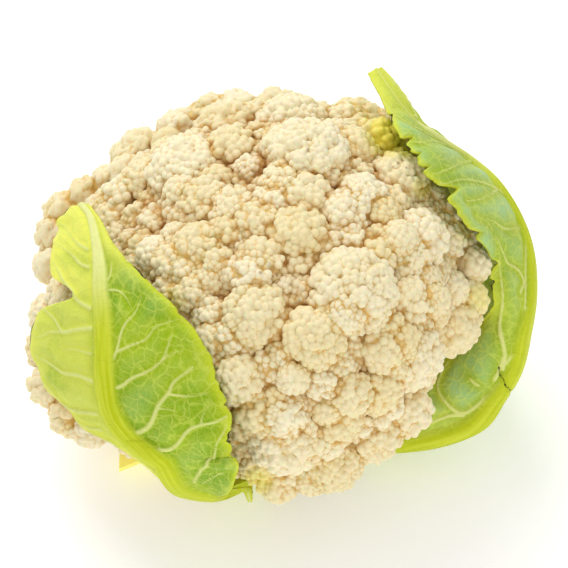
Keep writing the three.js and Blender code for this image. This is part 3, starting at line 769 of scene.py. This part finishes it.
# from foot to tip: near edge, near half, rib, far half, far edge
RIGHT_LEAF = placed([
    [at(15, -16, 14), at(17.5, -13, 12), at(19.5, -9, 11), at(20.5, -4, 12), at(20, 0, 14)],
    [at(28, -27, 14), at(30, -23, 12), at(32, -18, 11), at(33, -12, 12), at(33, -7, 14)],
    [at(38, -35, 15), at(41, -31, 13), at(43.5, -24, 12), at(45, -15, 13), at(46, -7, 15)],
    [(50, -48, -12), (57, -51, -11), at(61, -28, 17), at(64, -13, 18), at(64, -4, 20)],
    [(58, -42, -14), (69, -45, -8), at(77.5, -27, 24.5), at(81, -9, 25), at(78, 6, 28)],
    [(66, -33, -13), (79, -37, -5), (90.5, -38.5, -9), (87, -33, -30), (76, -26, -44)],
    [(75, -23, -11), (87, -27, 0), (96.8, -28, -7), (91, -22, -34), (80, -16, -50)],
    [(84, -13, -3), (93, -16, 5), (100, -15, -5), (94, -11, -36), (82, -6, -54)],
    [(89, -3.5, 11), (96.5, -3, 8), (102.3, -1, -5), (95, 3, -36), (81, 7, -56)],
    [(86, 9, 14), (95, 11, 8), (101.8, 14, -6), (92, 17, -37), (77, 20, -57)],
    [over(79, 22, 3), over(89, 24, 7), (98, 27, -8), (85, 31, -38), (69, 34, -56)],
    [over(69, 35, 3), over(81, 37, 5), (90.5, 39.5, -9), (79, 44, -37), (60, 45, -54)],
    [over(62, 43, 3), over(72, 46, 4), (81, 48.5, -12), (70, 55, -36), (53, 55, -50)],
    [over(58, 50, 3), over(65, 52, 4), (71.5, 54.5, -4), (69, 59, -20), (60, 62, -34)],
    [over(54, 56, 3), over(58, 58, 4), (63, 60.5, 3), (63, 63, -7), (61, 65, -16)],
    [over(50, 65, 4), (53, 67, 11), (56, 68, 6), (58, 70, 0), (57, 71, -6)],
    [(47, 73, 8), (49, 74, 6), (51, 75, 4), (53, 76, 1), (54, 77, -2)],
    [(43, 81, 2), (45, 82, 1), (46, 83, 0), (47, 83, -1), (48, 84, -2)],
])


def between(a, b, c, d, t):
    """A smooth curve from b to c, with a before it and d after it."""
    bend = (2 * a - 5 * b + 4 * c - d) * t**2 + (3 * b - a - 3 * c + d) * t**3
    return 0.5 * (2 * b + (c - a) * t + bend)


def padded(points):
    return np.concatenate([2 * points[:1] - points[1:2], points, 2 * points[-1:] - points[-2:-1]])


def leaf_place(rows, along, side):
    """Points of a leaf's inner face. along runs from 0 at the foot to 1, side from -1 to 1."""
    lines = padded(np.array(rows))
    place = np.clip(along, 0, 1) * (len(rows) - 1)
    step = np.minimum(place.astype(int), len(rows) - 2)
    t = (place - step)[:, None, None]
    crossing = between(*(lines[step + k] for k in range(4)), t)
    crossing = padded(crossing.transpose(1, 0, 2))
    place = (np.clip(side, -1, 1) + 1) * 2
    step = np.minimum(place.astype(int), 3)
    every = np.arange(len(step))
    return between(*(crossing[step + k, every] for k in range(4)), (place - step)[:, None])


def clear_of_head(points, lift):
    out = points - HEAD_CENTRE
    level = np.sqrt(head_level(out, lift))
    out = out / np.minimum(level, 1)[:, None] + HEAD_CENTRE
    out[:, 2] = np.maximum(out[:, 2], LEAST_HEIGHT)
    return out


def smooth_step(low, high, value):
    t = np.clip((value - low) / (high - low), 0, 1)
    return t * t * (3 - 2 * t)


def wander(value, seed, count=9):
    """A smooth random wave from -1 to 1, roughly, made of a few sines."""
    random = np.random.default_rng(seed)
    total = np.zeros_like(value)
    for k in range(1, count + 1):
        total += np.sin(value * k + random.uniform(0, 6.28)) * random.uniform(0.5, 1) / math.sqrt(k)
    return total / 2


# %% [markdown]
# Each vein that the photograph shows is a list of places in the view, across and up, from where it
# leaves the rib, with its width there. On the half of the right leaf that faces away, the veins
# follow a rule: they leave the rib in turn, lean to the tip and fork.

# %% Where the veins run
LEFT_VEINS = [
    (1.5, [(-55, -5), (-53, 1), (-50, 4), (-49, 8), (-49, 10)]),
    (1.2, [(-53, 0), (-47, 0.5), (-43.5, -2), (-40.5, -8)]),
    (1.7, [(-51, -29), (-49, -26), (-46.5, -20.5), (-45, -14.5), (-43, -10.5), (-40, -7.5), (-38, -2)]),
    (1.3, [(-46.5, -21), (-42, -19), (-36, -16.5), (-33, -12.5), (-28, -10.5), (-24, -9.5)]),
    (1.7, [(-50.5, -34), (-45, -33), (-41, -30), (-36, -28), (-30.5, -24), (-28, -18), (-27, -15)]),
    (1.0, [(-30.5, -24), (-26, -21), (-21.5, -20.5)]),
    (2.2, [(-45, -49.5), (-39, -49), (-35, -46.5), (-33, -42.5), (-31.5, -39), (-28, -35), (-26.5, -31.5),
           (-22, -28), (-19.5, -26)]),
    (1.1, [(-28, -35.5), (-23, -36), (-18.5, -36), (-14, -34.5), (-11.5, -32.5)]),
    (0.9, [(-31.5, -40.5), (-27, -41), (-24, -42.5)]),
    (2.1, [(-43, -51), (-39, -53), (-33, -55), (-28, -55), (-24.5, -52), (-21.5, -48), (-17, -46),
           (-12, -45), (-8, -43)]),
    (1.0, [(-17, -46), (-16, -42), (-13.5, -39), (-10.5, -38)]),
    (1.7, [(-20, -67), (-17.5, -62.5), (-14, -60), (-12.5, -58), (-11.5, -52.5), (-9.5, -49.5), (-8, -46)]),
    (1.2, [(-17, -67.5), (-11.5, -64), (-8, -63), (-5, -64.5)]),
    (1.3, [(-58, 15), (-62.5, 17.5), (-67, 23), (-70, 25)]),
    (1.4, [(-57.5, 8.5), (-61, 10), (-64, 13), (-69.5, 16.5), (-74, 19)]),
    (1.7, [(-56.5, -6), (-61, -3.5), (-64, 0), (-67, 3.5), (-69, 7), (-73, 12)]),
    (0.9, [(-67, 3), (-71, 4), (-73, 2.5)]),
    (1.8, [(-56, -13), (-62, -13.5), (-67, -14.5), (-69.5, -10.5), (-73.5, -7), (-75.5, -5.5)]),
    (1.2, [(-67, -14.5), (-72.5, -14.5), (-76.5, -16.5), (-81, -14.5)]),
    (1.0, [(-56, -22), (-62, -20.5), (-66.5, -20.5), (-69.5, -18.5)]),
    (1.7, [(-55.5, -31.5), (-61, -29.5), (-66.5, -29), (-70, -27), (-73.5, -25), (-78.5, -23)]),
    (1.6, [(-54.5, -43), (-62, -42.5), (-66.5, -41), (-69.5, -38), (-73.5, -34), (-78, -31)]),
    (1.2, [(-53, -49), (-60.5, -48), (-65, -46.5), (-69.5, -44)]),
    (1.2, [(-50, -53.5), (-56.5, -52.5), (-62, -50.5), (-64, -49)]),
    (1.1, [(-48, -56.5), (-54, -55), (-59.5, -53.5)]),
]
RIGHT_VEINS = [
    (1.7, [(94, -26), (98.5, -18), (100, -8.5), (100.5, 5.5), (100.5, 20), (99, 27.5), (95.5, 34),
           (91, 37.5), (89, 36.5), (83, 33.5), (77.5, 32.5)]),
    (1.4, [(90, 38), (82, 40), (73.5, 40), (66, 36.5)]),
    (1.5, [(84, 49), (76.5, 46.5), (71, 44), (65, 42)]),
    (1.4, [(99, 23.5), (92.5, 23), (88, 25.5), (82, 26.5)]),
    (1.4, [(98.5, 0), (100, 4), (97.5, 8.5), (94, 10.5), (92.5, 13.5), (90, 18), (86, 24.5), (80.5, 27.5)]),
    (1.7, [(93, -28), (93.5, -22), (92.5, -14.5), (92.5, -5), (91.5, 6.5), (90, 16)]),
    (1.8, [(93.5, -23), (91.5, -29.5), (88, -34.5), (83, -33.5), (81, -28.5), (80.5, -23)]),
    (2.0, [(92, -33), (90, -35.5), (84, -42), (78.5, -45), (73.5, -42), (70.5, -37), (71.5, -31.5),
           (74.5, -26.5)]),
    (1.6, [(79, -45.5), (73.5, -46), (67, -48.5), (59.5, -49.5)]),
    (1.3, [(82, 50), (71, 54), (66, 55), (61, 53.5), (57, 55)]),
    (1.2, [(66, 57), (57, 61), (51, 65.5), (48, 71)]),
    (0.9, [(60, 63), (55, 66.5), (50.5, 66)]),
]
FAR_VEINS = 11
FAR_LEAN = 0.09


def view_of(points):
    out = points - HEAD_CENTRE
    return np.stack([out @ ACROSS, out @ UP], 1)


def refined(points, step=0.6):
    """A smooth line through points, with a point at every step."""
    points = np.array(points, float)
    lines = padded(points)
    count = max(3, round(length(np.diff(points, axis=0)).sum() / step))
    place = np.linspace(0, len(points) - 1, count)
    first = np.minimum(place.astype(int), len(points) - 2)
    return between(*(lines[first + k] for k in range(4)), (place - first)[:, None])


def drawn_vein(width, route, seen, seen_from_view):
    """A vein in space: the route is laid on the points of the leaf that are seen, evened out."""
    line = refined(route)
    gap2 = ((seen_from_view[None] - line[:, None]) ** 2).sum(2)
    near = np.argpartition(gap2, 12, axis=1)[:, :12]
    weight = np.exp(-np.take_along_axis(gap2, near, 1) / 1.2)[:, :, None]
    on_leaf = (seen[near] * weight).sum(1) / weight.sum(1)
    for _ in range(6):
        on_leaf[1:-1] = (on_leaf[:-2] + 2 * on_leaf[1:-1] + on_leaf[2:]) / 4
    return on_leaf, width * np.linspace(1, 0.45, len(on_leaf))


def far_veins(rows):
    """Veins by rule on the half of a leaf that faces away."""
    routes = []
    reach = np.linspace(0.06, 0.93, 60)
    fork = np.linspace(0, 1, 30)
    for k in range(FAR_VEINS):
        start = 0.2 + 0.72 * k / FAR_VEINS
        bend = 0.012 * wander(reach * 5, 40 + k, 4)
        routes.append((1.6, start + FAR_LEAN * reach**1.3 + bend, reach))
        routes.append((1.0, start + FAR_LEAN * 0.4 - 0.035 * fork, 0.45 + 0.45 * fork))
    return [(leaf_place(rows, *r), width * np.linspace(1, 0.4, len(r[0]))) for width, *r in routes]


print(len(LEFT_VEINS), "veins drawn on the left leaf and", len(RIGHT_VEINS), "on the right")

# %% [markdown]
# Veins stand up from the outer face, and the blade between them puffs out, because it grows faster
# than they do. The edge is toothed and waved, and it browns where it was bruised. The rib is a
# rounded bar, thick at the foot. The right leaf was handled roughly: bites are torn out of its near
# edge, and a crack runs across its rib, where the leaf was bent.

# %% Growing a leaf
ALONG_LEAF = 330
ACROSS_LEAF = 138
LEAF_LENGTH = 250
VEIN_HEIGHT = 0.62
PUFF = 1.3
PUFF_REACH = 4.0
THINNEST_VEIN = 1.1
CRACK_WIDTH = 0.5
CRACK_DEPTH = 1.8
DEEPEST_BITE = 0.45
# where along the leaf, how long and how deep, as shares of the leaf
TORN_BITES = [(0.875, 0.004, 0.12), (0.81, 0.008, 0.42), (0.755, 0.005, 0.14), (0.715, 0.004, 0.09),
              (0.655, 0.011, 0.27), (0.585, 0.005, 0.13), (0.535, 0.01, 0.25), (0.505, 0.004, 0.1)]
RIB_CRACK = [(92.3, -28.5), (93, -31.5), (94.5, -33), (95.3, -35.5), (97.2, -37), (98.5, -40)]


def vein_relief(points, veins):
    """How strongly each point is on a vein, the vein's height there, and the nearest one's distance."""
    line, width = (np.concatenate(parts).astype(np.float32) for parts in zip(*veins))
    strength = np.zeros(len(points))
    height = np.zeros(len(points))
    distance = np.full(len(points), 99.0)
    for part in np.array_split(np.arange(len(points)), 24):
        gap = length(points[part, None].astype(np.float32) - line)
        drawn = np.maximum(width, THINNEST_VEIN)
        on_it = np.exp(-((gap / (0.62 * drawn)) ** 2)) * width / drawn
        strength[part] = on_it.max(1)
        height[part] = (on_it * width).max(1)
        distance[part] = gap.min(1)
    return strength, height, distance


def flat_sheet(along, across):
    """A closed flat sheet from -1 to 1 both ways, one unit thick."""
    shape = bmesh.new()
    bmesh.ops.create_grid(shape, x_segments=along, y_segments=across, size=1)
    bmesh.ops.solidify(shape, geom=shape.faces[:], thickness=1)
    bmesh.ops.triangulate(shape, faces=shape.faces[:])
    bmesh.ops.recalc_face_normals(shape, faces=shape.faces[:])
    return mesh_of(shape)


def broad_part(along):
    return smooth_step(0.16, 0.3, along)


def torn_side(along, side, tooth, seed, bites):
    """Where each vertex lies from side to side, once the edge has its teeth and bites."""
    edge_in = np.abs(side)
    teeth = 0.8 * wander(along * 40 + 3 * np.sign(side), seed + 1) + 0.5 * wander(along * 120, seed + 2)
    bitten = sum((deep * np.exp(-((along - place) / wide) ** 2) for place, wide, deep in bites), 0 * side)
    side_cut = side * (1 - (0.012 + tooth * np.maximum(teeth, -0.4)) * broad_part(along) * edge_in**3)
    return side_cut * (1 - np.where(side < 0, np.clip(bitten, 0, DEEPEST_BITE), 0) * edge_in)


def inner_face(rows, along, side, lift=LEAF_OFF_HEAD):
    return clear_of_head(leaf_place(rows, along, side), lift)


def outward(rows, along, side):
    """The directions that point out of the blade, from two short steps along and across it."""
    run = inner_face(rows, along + 0.004, side) - inner_face(rows, along - 0.004, side)
    cross = inner_face(rows, along, side + 0.02) - inner_face(rows, along, side - 0.02)
    return unit(np.cross(cross, run))


def crack_at(points, route):
    """How deep each point lies in the crack, from 0 to about 1."""
    away = length(view_of(points)[:, None] - refined(route, 0.3)).min(1)
    return np.exp(-((away / CRACK_WIDTH) ** 2)) * (0.75 + 0.25 * wander(points[:, 2] * 1.7, 8, 4))


def grow_leaf(name, rows, rib_half, rib_height, drawn, seed, paleness, wax, piece="blade", far=False,
              rib_ends=2.0, tooth=0.022, cells=(ALONG_LEAF, ACROSS_LEAF), crack=None, bites=()):
    """Grows one piece of a leaf. rib_half is the rib's half width at the foot and at the tip, and the
    power by which it narrows. rib_height is its height at both, and rib_ends is how far along it runs."""
    mesh = flat_sheet(*cells)
    flat = corners(mesh)
    outside = flat[:, 2] > flat[:, 2].mean()
    along = (flat[:, 0] + 1) / 2
    side = np.sign(flat[:, 1]) * np.abs(flat[:, 1]) ** 1.25
    edge_in = np.abs(side)
    side_cut = torn_side(along, side, tooth, seed, bites)

    middle = leaf_place(rows, along, np.zeros_like(side))
    half = length(leaf_place(rows, along, np.where(side < 0, -1.0, 1.0)) - middle)
    wave = 1 + wander(along * 30 + 2 * np.sign(side), seed, 4)
    wave = 1.6 * np.clip(half / 22, 0, 1) * edge_in**3 * wave
    base = inner_face(rows, along, side_cut, LEAF_OFF_HEAD + wave)
    out = outward(rows, along, side_cut)

    seen = outside & (out @ TOWARDS > 0.1)
    views = view_of(base[seen])
    veins = [drawn_vein(width, route, base[seen], views) for width, route in drawn]
    if far:
        veins += far_veins(rows)
    strength, height, distance = vein_relief(base, veins)

    from_rib = half * edge_in
    to_edge = half * (1 - edge_in)
    half_rib = rib_half[0] + (rib_half[1] - rib_half[0]) * along ** rib_half[2]
    half_rib = np.minimum(half_rib, half / 1.5) * (1 - 0.9 * smooth_step(rib_ends, rib_ends + 0.06, along))
    high_rib = rib_height[0] + (rib_height[1] - rib_height[0]) * along - BLADE_THICKNESS
    high_rib = high_rib * smooth_step(rib_ends + 0.06, rib_ends, along)
    ridge = np.clip(1 - (from_rib / (1.12 * half_rib)) ** 2, 0, 1) ** 0.72
    rib = smooth_step(1.25, 0.8, from_rib / half_rib)
    between_veins = (1 - np.exp(-((distance / PUFF_REACH) ** 2))) * (1 - rib)
    puff = PUFF * between_veins * smooth_step(0, 5, to_edge) * smooth_step(0, 4, from_rib - half_rib)
    ripple = wander(base[:, 0] * 0.9, 5, 5) * wander(base[:, 2] * 1.1 + base[:, 1], 6, 5)
    points = base + out * (puff + 0.25 * ripple * between_veins)[:, None]
    thickness = BLADE_THICKNESS * (0.75 + 0.25 * smooth_step(0, 3, to_edge))
    stand = thickness + high_rib * ridge + VEIN_HEIGHT * height * (1 - rib)
    points[outside] += (out * stand[:, None])[outside]
    cracked = crack_at(points, crack) * (outside & (out @ TOWARDS > 0)) if crack else np.zeros(len(points))
    points -= out * (CRACK_DEPTH * cracked)[:, None]
    points[:, 2] = np.maximum(points[:, 2], LEAST_HEIGHT)

    pale = paleness(along, side)
    bruised = smooth_step(0.15, 0.8, wander(along * 17 + 5 * np.sign(side), seed + 3, 5)) * broad_part(along)
    fill_mesh(mesh, points, {
        "vein": strength * (1 - rib),
        "rib": rib,
        "edge": np.exp(-to_edge / 5),
        "yellow": pale * (1 - 0.6 * rib),
        "wax": wax * np.clip(puff / PUFF, 0, 1) * (1 - pale),
        "bruise": np.maximum(np.exp(-to_edge / 0.9) * bruised, cracked),
        "length": along * LEAF_LENGTH,
        "cross": from_rib * np.sign(side),
    })
    leaf = add_piece(f"{name}_{piece}", mesh)
    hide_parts(name)
    return leaf


def left_paleness(along, side):
    """The left half and the tip are thin, and the light behind makes them pale and yellow."""
    return np.clip(0.62 * smooth_step(0.05, -0.25, side) + 0.8 * smooth_step(0.7, 0.92, along), 0, 0.9)


def right_paleness(along, side):
    return 0.15 + 0.4 * smooth_step(0.75, 0.95, along) + 0.2 * smooth_step(0.35, 0.2, along)


# from the leaf's foot downwards: left edge, left half, middle, right half, right edge
TORN_STRIP = placed([
    [(-6, -62, 10), (-5, -62, 11), (-4, -62, 11), (-3, -62, 11), (-2, -62, 10)],
    [(-5.5, -66, 10), (-4.5, -66, 11), (-3.5, -66, 11), (-2.3, -66, 11), (-1, -66, 10)],
    [(-4.5, -69.5, 9), (-3.7, -69.5, 10), (-2.5, -70, 10), (-1.3, -70, 10), (0, -70, 9)],
    [(-3.5, -73, 8), (-2.6, -73, 9), (-1.7, -73, 9), (-0.8, -73, 9), (0.4, -73, 8)],
    [(-1.4, -78, 7), (-1, -78, 7), (-0.6, -78, 7), (-0.2, -78, 7), (0.3, -77.5, 7)],
])
STRIP_VEINS = [(0.8, [(-3.5, -66), (-2, -72), (-1, -76)])]
leaf_pieces = [
    grow_leaf("leaf_left", LEFT_LEAF, (7, 2.2, 1), (6.5, 1.8), LEFT_VEINS, 21, left_paleness, 0.2),
    grow_leaf("leaf_right", RIGHT_LEAF, (7.5, 1.5, 0.6), (7, 1.8), RIGHT_VEINS, 31, right_paleness, 0.9,
              far=True, rib_ends=0.8, tooth=0.055, crack=RIB_CRACK, bites=TORN_BITES),
    grow_leaf("leaf_left", TORN_STRIP, (0.6, 0.4, 1), (1.2, 1), STRIP_VEINS, 41, right_paleness, 0.0,
              piece="torn_strip", cells=(60, 24)),
]
print([len(p.data.polygons) for p in leaf_pieces], "triangles in the leaves")

# %% [markdown]
# A leaf is yellow-green at its thin edges and deeper green where it is thick, with cream veins and a lime
# rib, which fades to cream at the tip. Wax makes it bluish in patches. The finest net of veins is a pattern
# of cells. Light comes through the watery cut stubs, so they are given a painted glow.

# %% The leaves' skin
LEAF_DEEP = (0.2, 0.37, 0.004, 1)
LEAF_MID = (0.36, 0.5, 0.008, 1)
LEAF_EDGE = (0.56, 0.64, 0.02, 1)
LEAF_WAX = (0.36, 0.62, 0.33, 1)
LEAF_YELLOW = (0.86, 0.85, 0.14, 1)
LEAF_NET = (0.68, 0.76, 0.12, 1)
VEIN_CREAM = (0.7, 0.74, 0.24, 1)
RIB_LIME = (0.5, 0.58, 0.006, 1)
RIB_PALE = (0.66, 0.72, 0.05, 1)
RIB_CREAM = (0.78, 0.8, 0.3, 1)
RIB_FADES = (150, 215)
BRUISE_BROWN = (0.07, 0.06, 0.012, 1)
LEAF_SETTINGS = {
    "Roughness": 0.5,
    "Specular IOR Level": 0.12,
    "Subsurface Weight": 0.12,
    "Subsurface Radius": (0.5, 1.0, 0.15),
    "Subsurface Scale": 0.0015,
}


def leaf_skin():
    t = Skin("leaf_skin", LEAF_SETTINGS)
    where = t.node("TexCoord").outputs["Object"]
    bend = t.vector("MULTIPLY", t.noise(130, out="Color"), (0.006, 0.006, 0.006))
    bent = t.vector("ADD", where, bend)

    def net_of(scale, width):
        cells = t.node("TexVoronoi", {"Vector": bent, "Scale": scale}, feature="DISTANCE_TO_EDGE")
        return t.ramp(cells.outputs["Distance"], width, 0.0)

    net = net_of(190, 0.1)
    fibres = t.node("CombineXYZ", {"X": t.attribute("cross"), "Y": t.attribute("length")})
    streaks = t.noise(1, where=t.vector("MULTIPLY", fibres.outputs[0], (0.9, 0.03, 1.0)))
    rib = t.mix(t.ramp(streaks, 0.3, 0.75), RIB_LIME, RIB_PALE)
    rib = t.mix(t.ramp(t.attribute("length"), *RIB_FADES), rib, RIB_CREAM)
    colour = t.coats(
        t.mix(t.ramp(t.noise(38, 4, 0.55), 0.35, 0.65), LEAF_DEEP, LEAF_MID),
        (t.ramp(t.attribute("edge"), 0.1, 0.95), LEAF_EDGE),
        (t.times(t.attribute("yellow"), t.ramp(t.noise(55), 0.05, 0.5)), LEAF_YELLOW),
        (t.times(t.ramp(t.noise(24), 0.3, 0.6), t.attribute("wax")), LEAF_WAX),
        (t.times(net_of(560, 0.16), 0.2), LEAF_NET),
        (t.times(net, 0.42), LEAF_NET),
        (t.ramp(t.attribute("vein"), 0.3, 0.9), VEIN_CREAM),
        (t.attribute("rib"), rib),
        (t.ramp(t.attribute("bruise"), 0.35, 0.7), BRUISE_BROWN),
    )
    height = t.math("ADD", t.times(net, 0.5), t.times(t.noise(420, 4, 0.6), 0.4))
    return t.finish(colour, {"Height": height, "Strength": 0.45, "Distance": 0.0006})


leaf_material = leaf_skin()
for piece in leaf_pieces:
    piece.data.materials.append(leaf_material)


def plain_flesh(name, pale, deep, scale, rough, glow):
    t = Skin(name, {
        "Roughness": rough,
        "Subsurface Weight": 0.2,
        "Subsurface Scale": 0.003,
        "Emission Color": pale,
        "Emission Strength": glow,
    })
    return t.finish(t.mix(t.ramp(t.noise(scale, 4), 0.3, 0.7), pale, deep))


stem_flesh = plain_flesh("stem_flesh", (0.66, 0.72, 0.36, 1), (0.5, 0.62, 0.2, 1), 60, 0.5, 0.0)
# the stubs glow with painted light, an emission that stands in for light coming through them
stub_flesh_painted_glow = plain_flesh("stub_flesh_painted_glow", (0.92, 0.85, 0.2, 1), (0.82, 0.78, 0.12, 1), 70, 0.45, 0.22)
for node in ("stem", "leaf_stub_left", "leaf_stub_back_left", "leaf_stub_back"):
    mesh = bpy.data.objects[node].data
    mesh.materials.clear()
    mesh.materials.append(stem_flesh if node == "stem" else stub_flesh_painted_glow)
